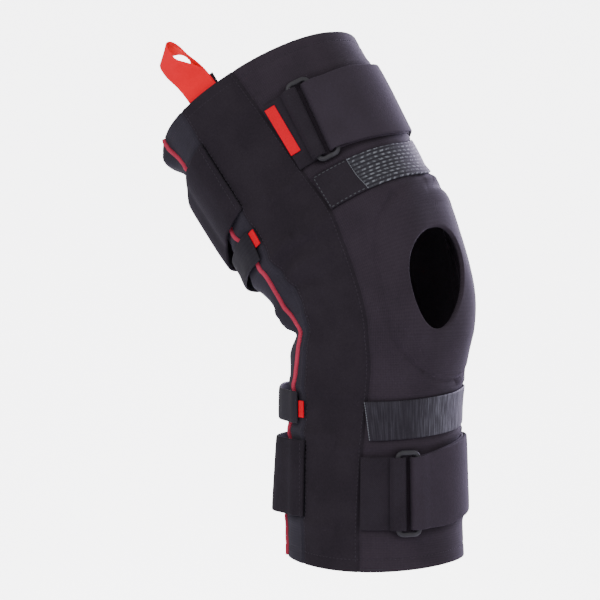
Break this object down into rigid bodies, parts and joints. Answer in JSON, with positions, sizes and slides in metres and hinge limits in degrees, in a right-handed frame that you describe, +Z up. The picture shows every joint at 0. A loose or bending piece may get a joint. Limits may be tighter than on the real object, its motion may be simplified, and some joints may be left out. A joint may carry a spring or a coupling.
{
  "type": "knee stabilizer",
  "caption": "Bent cloth knee sleeve with a kneecap hole, two wide straps through oblong rings, elastic bands, red piping and a red pull loop",
  "frame": {"origin": "centre of the knee joint inside the hollow, where the middle of the bend lies", "axes": "+Z up along the calf towards the thigh, -Y towards the front of the knee, -X towards the outer side of the leg; the thigh leans back towards +Y"},
  "size_m": [0.1676, 0.211, 0.3496],
  "materials": {
    "smooth_cloth": "smooth stretch cloth, matt",
    "brushed_cloth": "brushed loop pile, matt",
    "strip_cloth": "knitted, matt",
    "strap_cloth": "brushed loop pile, matt",
    "elastic_cloth": "woven elastic, fine ribs",
    "webbing": "woven, matt",
    "red_cloth": "woven, satin",
    "ring_plastic": "moulded, satin"
  },
  "bodies": {
    "root": {"front_panel": "smooth_cloth", "outer_side_panel": "brushed_cloth", "inner_side_panel": "brushed_cloth", "outer_rear_strip": "strip_cloth", "inner_rear_strip": "strip_cloth", "back_panel": "strip_cloth", "outer_piping": "red_cloth", "inner_piping": "red_cloth", "upper_strap": "strap_cloth", "upper_ring": "ring_plastic", "upper_ring_anchor": "webbing", "upper_elastic_band": "elastic_cloth", "upper_hook_tab": "webbing", "lower_elastic_band": "elastic_cloth", "lower_strap": "strap_cloth", "lower_ring": "ring_plastic", "lower_ring_anchor": "webbing", "upper_red_tab": "red_cloth", "lower_red_tab": "red_cloth", "label": "red_cloth", "pull_loop": "red_cloth", "rim_tab": "webbing"}
  },
  "joints": []
}
